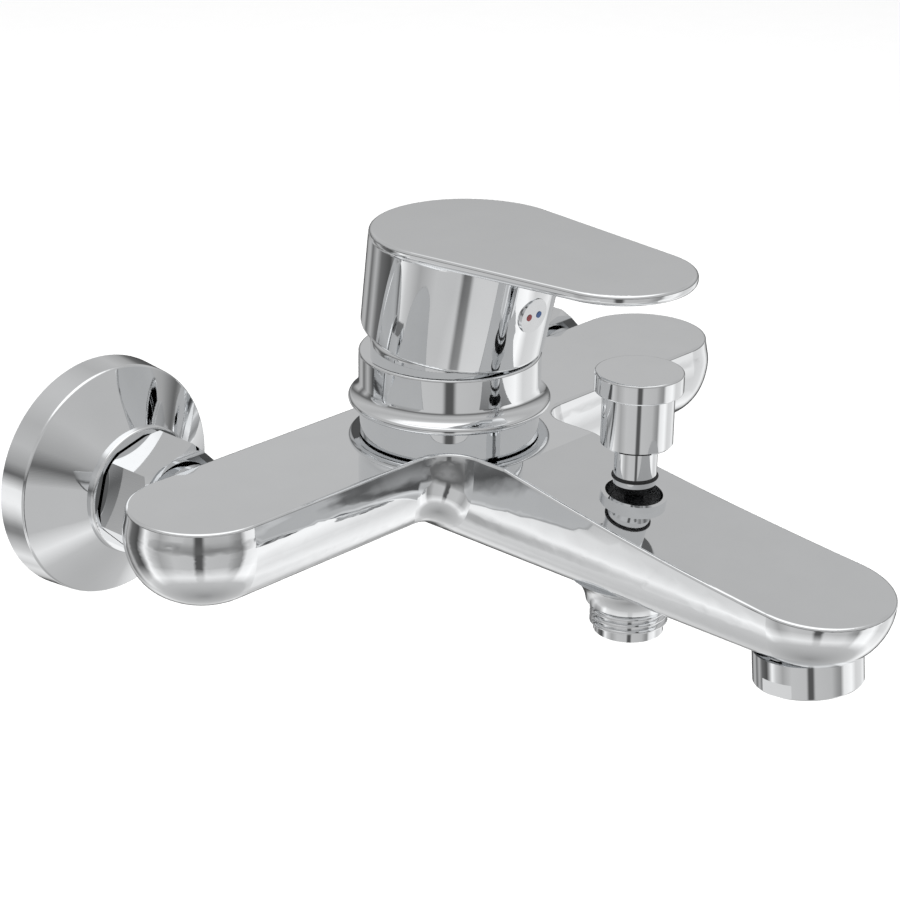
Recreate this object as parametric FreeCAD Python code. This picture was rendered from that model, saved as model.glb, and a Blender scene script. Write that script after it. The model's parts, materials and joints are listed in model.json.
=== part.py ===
import FreeCAD, Part
import math
import os

# Wall mounted single lever bath faucet, in millimetres.
# X runs to the right along the wall, Y points into the wall, Z points up.
# The wall is the plane Y = 0, and the origin lies midway between the wall threads.
# "reach" is the distance in front of the wall, and heights are taken from the
# axis of the body's inlets, which the eccentric wall unions lift above the wall threads.

Vector = FreeCAD.Vector
UP = Vector(0, 0, 1)
DOWN = Vector(0, 0, -1)
OUT = Vector(0, -1, 0)
IN = Vector(0, 1, 0)
RIGHT = Vector(1, 0, 0)

# Fits
running_gap = 0.05
loose_gap = 0.3
seat_gap = 0.15
cut_margin = 1.0
size_match = 0.01

# Pipe threads, drawn at their major diameter
half_inch_radius = 20.955 / 2
three_quarter_radius = 26.441 / 2
aerator_thread_radius = 12.0

# Body
inlet_spacing = 150.0
eccentric_offset = 8.0
arm_overhang = 33.0
arm_reach = 58.2
arm_top_half_depth = 19.3
arm_half_depth = 20.2
arm_top = 12.5
arm_widest = 3.0
arm_bottom = -13.0
hub_reach = 61.4
spout_tip_reach = 184.8
spout_top_half_width = 18.4
spout_half_width = 20.3
spout_widest = -3.0
spout_bottom = -18.0
slope_start_reach = 98.0
slope_middle_reach = 137.0
slope_middle_height = 6.3
slope_end_height = -0.8
side_fullness = 2.2
belly_fullness = 2.4
widest_share = 0.9
crotch_fillet = 10.0
rim_fillet = 0.8
hub_base_step = 1.4
hub_base_top = 16.6
collar_neck_gap = 0.4
hub_neck_top = 30.5
waterway_radius = 5.0
waterway_height = -2.8
mixed_way_radius = 4.0
mixed_way_height = -12.2
waterway_inset = 1.0

# Inlet unions
inlet_boss_wall = 1.9
inlet_boss_proud = 0.6
nipple_thread_length = 12.0
nipple_bore_radius = 7.5
nipple_neck_radius = 10.9
nipple_flange_thickness = 2.6
union_gap = 1.6
nut_flats = 30.0
nut_length = 15.6
nut_lip = 2.4
nut_chamfer = 1.6
nut_turn = 15.0
washer_thickness = 2.0
washer_bore_radius = 8.0
strainer_thickness = 0.6
strainer_margin = 1.9
strainer_hole_radius = 0.7
strainer_rings = 3
wall_thread_length = 14.0
union_bore_radius = 7.0
union_flange_radius = 17.6
union_flange_length = 4.0
union_flange_reach = 6.0

# Escutcheons
escutcheon_radius = 32.7
escutcheon_rim = 8.3
escutcheon_taper = 0.7
escutcheon_neck_radius = 17.8
escutcheon_depth = 19.6
escutcheon_wall = 1.2
bead_length = 2.4
bead_round = 0.8
rim_round = 1.0
wall_seal_width = 3.0
wall_seal_thickness = 2.0

# Cartridge
cartridge_floor = 8.0
cartridge_radius = 17.5
cartridge_clamp_step = 0.9
cartridge_wall = 2.6
cartridge_shoulder = 27.0
cartridge_top = 34.0
cartridge_top_wall = 2.6
base_lift = 0.8
base_thickness = 3.4
port_radius = 3.3
inlet_port_side = 6.5
inlet_port_back = 4.9
mixed_port_front = 7.5
port_seal_section = 1.0
fixed_disc_thickness = 3.2
moving_disc_thickness = 3.0
moving_disc_room = 0.99
mixing_pocket_radius = 6.5
mixing_pocket_depth = 1.8
carrier_thickness = 4.2
carrier_overhang = 0.3
carrier_floor = 0.6
rotor_neck_radius = 11.2
rotor_top = 36.6
pivot_height = 33.0
pivot_pin_radius = 1.5
lever_stem_width = 7.6
lever_ball_radius = 2.6
lever_neck_radius = 2.1
lever_neck_drop = 9.0
lever_ball_drop = 11.0
lever_stem_rise = 24.0
lever_slot_half_length = 7.4
nut_head_wall = 0.25
nut_head_height = 3.0

# Collar over the cartridge
collar_radius = 25.1
collar_top = 32.1
collar_lip_step = 2.8
collar_lip_height = 17.1
collar_lip_round = 1.2
collar_flare_height = 6.2
collar_wall = 1.3
dome_radius = 21.9
dome_top = 36.4
dome_wall = 1.1
dome_round = 2.2
collar_seal_section = 0.8

# Handle, drawn closed, with its axis leaning forward
handle_lean = 10.0
skirt_rim = 4.1
skirt_radius = 25.3
skirt_top_radius = 26.7
skirt_wall = 2.6
skirt_round = 1.4
lever_top = 67.9
lever_thickness = 3.0
lever_back_reach = 68.0
lever_back_radius = 27.1
lever_tip_reach = 118.5
lever_tip_radius = 20.6
lever_round = 0.9
lever_under_round = 1.6
gusset_fillet = 1.2
socket_radius = 8.2
socket_bottom = 9.0
plug_height = 20.6
plug_radius = 4.9
plug_depth = 1.6
plug_proud = 0.5
dot_radius = 0.95
dot_spacing = 3.8
dot_inlay = 0.4
dot_proud = 0.12
screw_radius = 2.5
screw_socket_flats = 2.5
screw_socket_depth = 2.0
screw_access_radius = 2.9

# Diverter
diverter_reach = 127.0
diverter_travel = 6.5
boss_radius = 8.8
boss_hole_radius = 7.6
boss_lean = 7.5
boss_top = 9.3
boss_hole_bottom = -0.5
knob_cap_radius = 11.6
knob_cap_top = 43.0
knob_cap_thickness = 5.4
knob_body_radius = 9.45
knob_bottom = 23.0
knob_round = 0.6
stem_radius = 5.65
stem_socket_radius = 4.0
stem_socket_depth = 9.0
stem_end_radius = 4.7
stem_taper_top = 12.2
stem_taper_bottom = 10.0
rod_radius = 2.5
stem_ring_height = 14.1
stem_ring_section = 0.5
gland_top = 2.5
gland_ring_section = 0.7
chamber_radius = 9.2
valve_seat_height = -6.2
valve_seat_thickness = 1.4
valve_seat_radius = 5.2
valve_room_step = 1.0
valve_radius = 7.2
valve_thickness = 1.5
valve_seal_thickness = 0.8
knob_screw_radius = 1.5
knob_screw_height = 28.0
flare_radius = 16.5
flare_bottom = -21.4
flare_bottom_radius = 11.6
flare_height = 4.5
flare_waist = 1.0

# Shower outlet
outlet_bottom = -30.0
outlet_inner_radius = 9.4
outlet_bore_radius = 6.4
outlet_chamfer = 0.8
outlet_socket_flats = 13.4
outlet_socket_depth = 5.0
outlet_ring_section = 0.7

# Aerator, its axis leaning out from the wall at the bottom
aerator_ahead = 0.1
aerator_bottom = -24.3
aerator_lean = 6.0
aerator_radius = 14.0
aerator_skirt = 9.0
aerator_bore_radius = 10.9
aerator_thread_length = 6.0
aerator_lip = 1.2
aerator_mouth_radius = 9.7
aerator_round = 0.5
aerator_recess_gap = 0.25
wrench_flat = 13.3
wrench_flat_height = 4.0
screen_thickness = 0.8
insert_length = 8.0
insert_hole_radius = 1.1
insert_rings = 3
insert_margin = 2.3
aerator_washer_thickness = 1.6
spout_way_width = 12.0
spout_way_height = 4.8


# Places worked out from the sizes above
arm_half_length = inlet_spacing / 2 + arm_overhang
aerator_reach = spout_tip_reach + aerator_ahead
inlet_boss_radius = half_inch_radius + inlet_boss_wall
strainer_radius = union_bore_radius + strainer_margin
arm_face = arm_reach - arm_half_depth - inlet_boss_proud
nut_front = arm_face - union_gap
nut_back = nut_front - nut_length
flange_front = nut_front - nut_lip
flange_back = flange_front - nipple_flange_thickness
union_front = flange_back - washer_thickness
collar_inner_radius = collar_radius - collar_wall
collar_lip_radius = collar_radius + collar_lip_step
hub_neck_radius = collar_inner_radius - collar_neck_gap
hub_base_radius = hub_neck_radius + hub_base_step
cartridge_clamp_radius = cartridge_radius - cartridge_clamp_step
nut_hole_flats = 2 * (cartridge_clamp_radius + seat_gap + nut_head_wall)
retaining_radius = (cartridge_radius + hub_neck_radius) / 2
cartridge_inner_radius = cartridge_radius - cartridge_wall
base_bottom = cartridge_floor + base_lift
base_top = base_bottom + base_thickness
fixed_disc_top = base_top + fixed_disc_thickness
moving_disc_top = fixed_disc_top + moving_disc_thickness
carrier_top = moving_disc_top + carrier_thickness
disc_shift = lever_ball_drop * math.sin(math.radians(handle_lean))
moving_disc_radius = cartridge_inner_radius - disc_shift - moving_disc_room
carrier_radius = moving_disc_radius + carrier_overhang
pivot = Vector(0, -hub_reach, pivot_height)
chamber_top = valve_seat_height - valve_seat_thickness
valve_stack = valve_thickness + 2 * valve_seal_thickness
valve_top = chamber_top - running_gap
outlet_seat = valve_top - valve_stack - diverter_travel - running_gap
aerator_seat = aerator_skirt + aerator_thread_length


def at(x, reach, height):
    return Vector(x, -reach, height)


def rod(radius, start, direction, length):
    return Part.makeCylinder(radius, length, start, direction)


def tube(outer, inner, start, direction, length):
    return rod(outer, start, direction, length).cut(rod(inner, start, direction, length))


def placed(shape, base, axis):
    moved = shape.copy()
    moved.Placement = FreeCAD.Placement(base, FreeCAD.Rotation(UP, axis))
    return moved


def turned(outline, base, axis=UP):
    # outline is a closed list of (radius, height) corners, and a pair of corners is an
    # arc through the first to the second
    def corner(item):
        return Vector(item[0], 0, item[1])

    edges = []
    start = corner(outline[0])
    for item in outline[1:] + outline[:1]:
        if isinstance(item[0], tuple):
            edges.append(Part.Arc(start, corner(item[0]), corner(item[1])).toShape())
            start = corner(item[1])
        else:
            edges.append(Part.makeLine(start, corner(item)))
            start = corner(item)
    face = Part.Face(Part.Wire(edges))
    return placed(face.revolve(Vector(), UP, 360), base, axis)


def round_corner(radius, height, soft, way):
    # a quarter round at an outer corner: way is 1 going up from below it, -1 going in over it
    inset = soft * (1 - math.sqrt(0.5))
    middle = (radius - inset, height + way * inset)
    ends = {1: (radius, height + soft), -1: (radius - soft, height)}
    return (middle, ends[way])


def seal_ring(centre_radius, section, base, axis=UP):
    return placed(Part.makeTorus(centre_radius, section), base, axis)


def hexagon(flats, base, axis, length, turn=0.0):
    corner = flats / 2 / math.cos(math.pi / 6)
    angles = [math.radians(turn + 60 * step) for step in range(7)]
    corners = [Vector(corner * math.cos(a), corner * math.sin(a), 0) for a in angles]
    prism = Part.Face(Part.makePolygon(corners)).extrude(Vector(0, 0, length))
    return placed(prism, base, axis)


def box_between(low, high):
    size = high - low
    return Part.makeBox(size.x, size.y, size.z, low)


def leaned(shape, pivot, angle):
    moved = shape.copy()
    moved.rotate(pivot, RIGHT, angle)
    return moved


def rounded(shape, radius, wanted):
    edges = [edge for edge in shape.Edges if wanted(edge)]
    return shape.makeFillet(radius, edges)


# ---- body ----------------------------------------------------------------

def half_hull_curve(top_half, top, half, widest, bottom):
    curve = Part.BSplineCurve()
    points = [Vector(top_half, 0, top), Vector(half, 0, widest), Vector(0, 0, bottom)]
    start = Vector(half - top_half, 0, widest - top) * side_fullness
    finish = Vector(-half, 0, 0) * belly_fullness
    curve.interpolate(Points=points, InitialTangent=start, FinalTangent=finish,
                      Parameters=[0.0, widest_share, 2.0])
    return curve.toShape()


def hull_end(side, top, bottom, base):
    # a round end: the hull's side curve turned about an upright axis
    lid = Part.makeLine(Vector(0, 0, top), side.Vertexes[0].Point)
    spine = Part.makeLine(Vector(0, 0, bottom), Vector(0, 0, top))
    end = Part.Face(Part.Wire([lid, side, spine])).revolve(Vector(), UP, 360)
    return placed(end, base, UP)


def hull_run(side, turn, base, direction, length):
    # a straight run of the same section, turned about the upright axis to face along it
    other = side.mirror(Vector(), RIGHT)
    lid = Part.makeLine(side.Vertexes[0].Point, other.Vertexes[0].Point)
    section = Part.Face(Part.Wire([side, lid, other]))
    section.rotate(Vector(), UP, turn)
    section.translate(base)
    return section.extrude(direction * length)


def arms_hull():
    side = half_hull_curve(arm_top_half_depth, arm_top, arm_half_depth, arm_widest, arm_bottom)
    centre = arm_half_length - arm_top_half_depth
    hull = hull_run(side, 90, at(-centre, arm_reach, 0), RIGHT, 2 * centre)
    for sign in (-1, 1):
        end = hull_end(side, arm_top, arm_bottom, at(sign * centre, arm_reach, 0))
        hull = hull.fuse(end)
    return hull


def spout_hull():
    side = half_hull_curve(spout_top_half_width, arm_top, spout_half_width, spout_widest,
                           spout_bottom)
    length = spout_tip_reach - hub_reach
    hull = hull_run(side, 0, at(0, hub_reach, 0), OUT, length)
    for reach in (hub_reach, spout_tip_reach):
        hull = hull.fuse(hull_end(side, arm_top, spout_bottom, at(0, reach, 0)))
    return hull


def above_spout():
    # everything above the spout's gently hollow top
    end_reach = spout_tip_reach + spout_half_width
    start = at(-arm_half_length, slope_start_reach, arm_top)
    middle = at(-arm_half_length, slope_middle_reach, slope_middle_height)
    end = at(-arm_half_length, end_reach, slope_end_height)
    slope = Part.Arc(start, middle, end).toShape()
    lift = Vector(0, 0, 2 * arm_top)
    beyond = end + OUT * arm_half_depth
    rest = Part.makePolygon([end, beyond, beyond + lift, start + lift, start])
    profile = Part.Face(Part.Wire([slope] + rest.Edges))
    return profile.extrude(RIGHT * (2 * arm_half_length))


def inlet_boss(sign):
    return rod(inlet_boss_radius, at(sign * inlet_spacing / 2, arm_face, 0), OUT, arm_half_depth)


def boss_axis():
    lean = math.radians(boss_lean)
    return Vector(0, -math.sin(lean), math.cos(lean))


def diverter_boss():
    top = at(0, diverter_reach, boss_top)
    return rod(boss_radius, top, boss_axis() * -1, boss_top - boss_hole_bottom)


def flared_boss():
    # the flare under the spout that the shower outlet screws into
    top = spout_bottom + flare_height
    waist = (flare_bottom_radius + flare_waist, spout_bottom)
    outline = [(0, flare_bottom), (0, top), (flare_radius, top),
               (waist, (flare_bottom_radius, flare_bottom))]
    return turned(outline, at(0, diverter_reach, 0))


def aerator_axis():
    lean = math.radians(aerator_lean)
    return Vector(0, math.sin(lean), math.cos(lean))


def aerator_point(height):
    return at(0, aerator_reach, aerator_bottom) + aerator_axis() * height


def waterways():
    cuts = []
    inlet_line = arm_reach - waterway_inset
    for sign in (-1, 1):
        inlet = sign * inlet_spacing / 2
        port = sign * inlet_port_side
        cuts.append(rod(half_inch_radius + running_gap, at(inlet, arm_face, 0), OUT,
                        nipple_thread_length + seat_gap))
        cuts.append(rod(nipple_bore_radius, at(inlet, arm_face, 0), OUT,
                        inlet_line - arm_face + waterway_radius))
        cuts.append(rod(waterway_radius, at(inlet, inlet_line, waterway_height), RIGHT * -sign,
                        abs(inlet - port) + port_radius))
        cuts.append(rod(port_radius, at(port, hub_reach - inlet_port_back, waterway_height), UP,
                        cartridge_floor - waterway_height))
    mixed_reach = hub_reach + mixed_port_front
    cuts.append(rod(port_radius, at(0, mixed_reach, mixed_way_height), UP,
                    cartridge_floor - mixed_way_height))
    cuts.append(rod(mixed_way_radius, at(0, mixed_reach - port_radius, mixed_way_height), OUT,
                    diverter_reach - mixed_reach + port_radius))
    cuts.append(spout_way())
    return cuts


def spout_way():
    roof = valve_seat_height + spout_way_height
    floor_end = aerator_point(aerator_skirt + aerator_thread_length).z
    corners = [at(0, diverter_reach, roof), at(0, diverter_reach, valve_seat_height),
               at(0, aerator_reach, floor_end), at(0, aerator_reach, floor_end + spout_way_height)]
    face = Part.Face(Part.makePolygon(corners + corners[:1]))
    way = face.extrude(RIGHT * spout_way_width)
    way.translate(RIGHT * (-spout_way_width / 2))
    return way


def cartridge_bore():
    upper = cartridge_shoulder - seat_gap
    lower_bore = rod(cartridge_radius + seat_gap, at(0, hub_reach, cartridge_floor), UP,
                     hub_neck_top)
    upper_bore = rod(retaining_radius + running_gap, at(0, hub_reach, upper), UP, hub_neck_top)
    return lower_bore.fuse(upper_bore)


def diverter_bores():
    axis = at(0, diverter_reach, 0)
    hole = rod(boss_hole_radius, axis + UP * boss_hole_bottom, UP, boss_top + boss_radius)
    outlet_room = rod(boss_hole_radius - valve_room_step, axis + UP * valve_seat_height, UP,
                      boss_hole_bottom - valve_seat_height)
    seat = rod(valve_seat_radius, axis + UP * (valve_seat_height - valve_seat_thickness), UP,
               valve_seat_thickness)
    chamber = rod(chamber_radius, axis + UP * outlet_seat, UP, chamber_top - outlet_seat)
    thread = rod(outlet_inner_radius + running_gap, axis + UP * flare_bottom, UP,
                 outlet_seat - flare_bottom)
    return [hole, outlet_room, seat, chamber, thread]


def aerator_bores():
    recess = rod(aerator_radius + aerator_recess_gap, aerator_point(0), aerator_axis(),
                 aerator_skirt)
    socket_depth = aerator_skirt + aerator_thread_length + aerator_washer_thickness
    socket = rod(aerator_thread_radius + running_gap, aerator_point(0), aerator_axis(),
                 socket_depth)
    return [recess, socket]


def collar_seal_groove():
    height = (hub_base_top + hub_neck_top) / 2
    depth = 2 * collar_seal_section
    inner = collar_inner_radius - depth
    return tube(hub_neck_radius + depth, inner, at(0, hub_reach, height - collar_seal_section),
                UP, depth)


def is_crotch(edge):
    # the two edges where an arm's front runs into the spout's side
    box = edge.BoundBox
    tall = box.ZLength > arm_top and box.YLength > crotch_fillet
    return tall and box.YMin < -arm_reach - arm_top_half_depth


def top_rim(body):
    # the sharp edges round the flat top and the spout's sloping top
    edges = []
    for edge in body.Edges:
        if edge.Degenerated or edge.BoundBox.ZMin < slope_end_height - 0.1:
            continue
        middle = edge.valueAt((edge.FirstParameter + edge.LastParameter) / 2)
        normals = [normal_at(face, middle) for face in body.ancestorsOfType(edge, Part.Face)]
        if len(normals) < 2:
            continue
        upward = max(normal.z for normal in normals) > 0.95
        if upward and normals[0].getAngle(normals[1]) > math.pi / 4:
            edges.append(edge)
    return edges


def normal_at(face, point):
    return face.normalAt(*face.Surface.parameter(point))


def body_casting():
    body = arms_hull().fuse(spout_hull()).removeSplitter()
    body = rounded(body, crotch_fillet, is_crotch).cut(above_spout())
    body = body.makeFillet(rim_fillet, top_rim(body))
    hub = rod(hub_base_radius, at(0, hub_reach, 0), UP, hub_base_top)
    neck = rod(hub_neck_radius, at(0, hub_reach, 0), UP, hub_neck_top)
    bosses = [hub, neck, inlet_boss(-1), inlet_boss(1), diverter_boss(), flared_boss()]
    body = body.fuse(bosses).removeSplitter()
    cuts = waterways() + [cartridge_bore(), collar_seal_groove()]
    cuts += diverter_bores() + aerator_bores()
    return body.cut(cuts)


# ---- collar and cartridge --------------------------------------------------

def flare_arc(foot, top):
    # an arc that rises from the foot and ends upright at the top
    run = foot[0] - top[0]
    rise = top[1] - foot[1]
    radius = (run * run + rise * rise) / (2 * run)
    half = math.atan2(rise, radius - run) / 2
    middle = (top[0] + radius * (1 - math.cos(half)), top[1] - radius * math.sin(half))
    return (middle, top)


def collar_shroud():
    inner = collar_inner_radius
    dome_inner = dome_radius - dome_wall
    hole = rotor_neck_radius + loose_gap
    lip = collar_lip_height
    flare_top = lip + collar_flare_height
    ledge = collar_top - collar_wall
    roof = dome_top - dome_wall
    soft = rim_fillet
    lip_side = collar_lip_radius - collar_lip_round
    flare_foot = (lip_side + collar_lip_round / 3, lip + 2 * collar_lip_round)
    outline = [
        (inner, lip), (lip_side, lip),
        ((collar_lip_radius, lip + collar_lip_round), flare_foot),
        flare_arc(flare_foot, (collar_radius, flare_top)),
        (collar_radius, collar_top - soft),
        round_corner(collar_radius, collar_top, soft, -1),
        (dome_radius, collar_top), (dome_radius, dome_top - dome_round),
        round_corner(dome_radius, dome_top, dome_round, -1),
        (hole, dome_top), (hole, roof), (dome_inner - dome_round, roof),
        (dome_inner, roof - dome_round), (dome_inner, ledge), (inner, ledge)]
    return turned(outline, at(0, hub_reach, 0))


def collar_o_ring():
    height = (hub_base_top + hub_neck_top) / 2
    radius = collar_inner_radius - collar_seal_section
    return seal_ring(radius, collar_seal_section, at(0, hub_reach, height))


def cartridge_retaining_nut():
    bore = cartridge_clamp_radius + seat_gap
    shank = rod(retaining_radius, at(0, hub_reach, cartridge_shoulder), UP,
                hub_neck_top - cartridge_shoulder)
    head = hexagon(nut_hole_flats, at(0, hub_reach, hub_neck_top), UP, nut_head_height)
    hole = rod(bore, at(0, hub_reach, cartridge_shoulder), UP, hub_neck_top)
    return shank.fuse(head).cut(hole).removeSplitter()


def cartridge_housing():
    opening = rotor_neck_radius + running_gap
    outline = [
        (cartridge_inner_radius, base_top), (cartridge_radius, base_top),
        (cartridge_radius, cartridge_shoulder), (cartridge_clamp_radius, cartridge_shoulder),
        (cartridge_clamp_radius, cartridge_top), (opening, cartridge_top),
        (opening, cartridge_top - cartridge_top_wall),
        (cartridge_inner_radius, cartridge_top - cartridge_top_wall)]
    return turned(outline, at(0, hub_reach, 0))


def port_places():
    back = hub_reach - inlet_port_back
    return [(-inlet_port_side, back), (inlet_port_side, back), (0, hub_reach + mixed_port_front)]


def ported_disc(radius, bottom, thickness):
    disc = rod(radius, at(0, hub_reach, bottom), UP, thickness)
    for x, reach in port_places():
        disc = disc.cut(rod(port_radius, at(x, reach, bottom), UP, thickness))
    return disc


def cartridge_base():
    return ported_disc(cartridge_radius, base_bottom, base_thickness).cut(port_seal_grooves())


def port_seal_grooves():
    rings = []
    for x, reach in port_places():
        rings.append(tube(port_radius + 2 * port_seal_section, port_radius,
                          at(x, reach, base_bottom), UP, 2 * port_seal_section - base_lift))
    return rings


def cartridge_port_seals():
    section = port_seal_section
    height = cartridge_floor + section
    return Part.makeCompound([seal_ring(port_radius + section, section, at(x, reach, height))
                              for x, reach in port_places()])


def fixed_ceramic_disc():
    return ported_disc(cartridge_inner_radius - seat_gap, base_top, fixed_disc_thickness)


def moving_ceramic_disc():
    centre = at(0, hub_reach - disc_shift, fixed_disc_top)
    disc = rod(moving_disc_radius, centre, UP, moving_disc_thickness)
    return disc.cut(rod(mixing_pocket_radius, centre, UP, mixing_pocket_depth))


def disc_carrier():
    centre = at(0, hub_reach - disc_shift, moving_disc_top)
    half = lever_ball_radius + 2 * running_gap
    pocket = box_between(centre + Vector(-half, -half, carrier_floor),
                         centre + Vector(half, half, carrier_thickness))
    return rod(carrier_radius, centre, UP, carrier_thickness).cut(pocket)


def cartridge_rotor():
    bottom = carrier_top + loose_gap
    shoulder = cartridge_top - cartridge_top_wall - running_gap
    base = at(0, hub_reach, bottom)
    wide = rod(cartridge_inner_radius - running_gap, base, UP, shoulder - bottom)
    neck = rod(rotor_neck_radius, base, UP, rotor_top - bottom)
    half = lever_stem_width / 2 + 2 * running_gap
    slot = box_between(base + Vector(-half, -lever_slot_half_length, 0),
                       base + Vector(half, lever_slot_half_length, rotor_top - bottom))
    pin_hole = rod(pivot_pin_radius + running_gap, pivot - RIGHT * cartridge_radius, RIGHT,
                   2 * cartridge_radius)
    return wide.fuse(neck).removeSplitter().cut([slot, pin_hole])


def lever_pivot_pin():
    half = rotor_neck_radius - rim_fillet
    return rod(pivot_pin_radius, pivot - RIGHT * half, RIGHT, 2 * half)


def lever_stem():
    half = lever_stem_width / 2
    square = box_between(pivot + Vector(-half, -half, -lever_neck_drop),
                         pivot + Vector(half, half, lever_stem_rise))
    neck = rod(lever_neck_radius, pivot + DOWN * lever_ball_drop, UP,
               lever_ball_drop - lever_neck_drop)
    ball = Part.makeSphere(lever_ball_radius, pivot + DOWN * lever_ball_drop)
    hole = rod(pivot_pin_radius + running_gap, pivot - RIGHT * half, RIGHT, lever_stem_width)
    stem = square.fuse([neck, ball]).cut(hole)
    return leaned(stem, pivot, handle_lean)


# ---- handle -----------------------------------------------------------------

def lever_blade():
    # the flat teardrop: a large circle, a small circle and their common tangents
    distance = lever_tip_reach - lever_back_reach
    turn = math.asin((lever_back_radius - lever_tip_radius) / distance)
    across, along = math.cos(turn), math.sin(turn)
    bottom = lever_top - lever_thickness

    def rim(side, radius, reach):
        return at(side * radius * across, reach + radius * along, bottom)

    back = Part.Arc(rim(1, lever_back_radius, lever_back_reach),
                    at(0, lever_back_reach - lever_back_radius, bottom),
                    rim(-1, lever_back_radius, lever_back_reach)).toShape()
    tip = Part.Arc(rim(-1, lever_tip_radius, lever_tip_reach),
                   at(0, lever_tip_reach + lever_tip_radius, bottom),
                   rim(1, lever_tip_radius, lever_tip_reach)).toShape()
    left = Part.makeLine(rim(-1, lever_back_radius, lever_back_reach),
                         rim(-1, lever_tip_radius, lever_tip_reach))
    right = Part.makeLine(rim(1, lever_tip_radius, lever_tip_reach),
                          rim(1, lever_back_radius, lever_back_reach))
    blade = Part.Face(Part.Wire([back, left, tip, right])).extrude(UP * lever_thickness)
    blade = rounded(blade, lever_round, level_edge_at(lever_top))
    return rounded(blade, lever_under_round, level_edge_at(bottom))


def level_edge_at(height):
    def wanted(edge):
        box = edge.BoundBox
        return abs(box.ZMin - height) < size_match and abs(box.ZMax - height) < size_match
    return wanted


def is_gusset(edge):
    # where the front of the skirt runs into the blade's underside
    level = level_edge_at(lever_top - lever_thickness)(edge)
    return level and isinstance(edge.Curve, Part.Ellipse)


def skirt_radius_at(height):
    rise = lever_top - pivot_height - skirt_rim
    return skirt_radius + (skirt_top_radius - skirt_radius) * (height - skirt_rim) / rise


def leaned_cone(bottom_radius, top_radius, bottom, top):
    cone = Part.makeCone(bottom_radius, top_radius, top - bottom, pivot + UP * bottom, UP)
    return leaned(cone, pivot, handle_lean)


def below(height):
    reach = lever_tip_reach + lever_back_radius
    return box_between(at(-reach, 2 * reach, 0), at(reach, 0, height))


def skirt_rim_edge(edge):
    return edge.Closed and edge.BoundBox.ZMin < pivot_height + skirt_rim


def handle_skirt():
    tall = lever_top - pivot_height + skirt_wall
    outer = leaned_cone(skirt_radius, skirt_radius_at(tall), skirt_rim, tall)
    outer = rounded(outer, skirt_round, skirt_rim_edge)
    return outer.common(below(lever_top - lever_thickness / 2))


def handle_cavity():
    tall = lever_top - pivot_height + skirt_wall
    inner = leaned_cone(skirt_radius - skirt_wall, skirt_radius_at(tall) - skirt_wall,
                        skirt_rim, tall)
    return inner.common(below(lever_top - lever_thickness))


def socket_block():
    block = rod(socket_radius, pivot + UP * socket_bottom, UP, lever_top - pivot_height)
    return leaned(block, pivot, handle_lean).common(below(lever_top - lever_thickness / 2))


def stem_socket():
    half = lever_stem_width / 2 + running_gap
    hole = box_between(pivot + Vector(-half, -half, 0),
                       pivot + Vector(half, half, lever_stem_rise + seat_gap))
    return leaned(hole, pivot, handle_lean)


def front_rod(radius, from_axis, to_axis):
    # a rod across the handle's axis at the index plug's height, towards the front
    start = pivot + UP * plug_height + OUT * from_axis
    return leaned(rod(radius, start, OUT, to_axis - from_axis), pivot, handle_lean)


def plug_face():
    return skirt_radius_at(plug_height) + plug_proud


def plug_seat():
    return skirt_radius_at(plug_height) - plug_depth


def lever_handle():
    shell = handle_skirt().fuse(lever_blade()).removeSplitter()
    shell = rounded(shell, gusset_fillet, is_gusset)
    shell = shell.cut(handle_cavity()).fuse(socket_block()).removeSplitter()
    cuts = [stem_socket(), front_rod(screw_radius + running_gap, 0, socket_radius + cut_margin),
            front_rod(screw_access_radius, socket_radius, plug_face() + cut_margin),
            front_rod(plug_radius + running_gap, plug_seat(), plug_face() + cut_margin)]
    return shell.cut(cuts)


def handle_set_screw():
    tip = lever_stem_width / 2 + running_gap
    screw = front_rod(screw_radius, tip, socket_radius)
    start = pivot + UP * plug_height + OUT * (socket_radius - screw_socket_depth)
    socket = hexagon(screw_socket_flats, start, OUT, screw_socket_depth)
    return screw.cut(leaned(socket, pivot, handle_lean))


def index_plug():
    plug = front_rod(plug_radius, plug_seat(), plug_face())
    return plug.cut([dot_space(-1), dot_space(1)])


def dot_space(sign):
    side = RIGHT * (sign * dot_spacing / 2)
    hole = front_rod(dot_radius, plug_face() - dot_inlay, plug_face() + dot_proud)
    hole.translate(side)
    return hole


# ---- wall unions ------------------------------------------------------------

def union_base(sign):
    return at(sign * inlet_spacing / 2, 0, 0)


def inlet_nipple(sign):
    base = union_base(sign)
    flange = rod(three_quarter_radius - loose_gap, base + OUT * flange_back, OUT,
                 nipple_flange_thickness)
    neck = rod(nipple_neck_radius, base + OUT * flange_front, OUT, arm_face - flange_front)
    thread = rod(half_inch_radius, base + OUT * arm_face, OUT, nipple_thread_length)
    bore = rod(nipple_bore_radius, base, OUT, arm_face + nipple_thread_length)
    return flange.fuse([neck, thread]).cut(bore).removeSplitter()


def union_nut(sign):
    base = union_base(sign)
    prism = hexagon(nut_flats, base + OUT * nut_back, OUT, nut_length, nut_turn)
    corner = nut_flats / 2 / math.cos(math.pi / 6)
    flat = corner - nut_chamfer
    guard = turned([(0, 0), (flat, 0), (corner + loose_gap, nut_chamfer),
                    (corner + loose_gap, nut_length - nut_chamfer), (flat, nut_length),
                    (0, nut_length)], base + OUT * nut_back, OUT)
    thread = rod(three_quarter_radius + running_gap, base + OUT * nut_back, OUT,
                 nut_length - nut_lip)
    hole = rod(nipple_neck_radius + seat_gap, base + OUT * nut_back, OUT, nut_length)
    return prism.common(guard).cut([thread, hole])


def union_washer(sign):
    return tube(three_quarter_radius - loose_gap, washer_bore_radius,
                union_base(sign) + OUT * union_front, OUT, washer_thickness)


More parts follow.
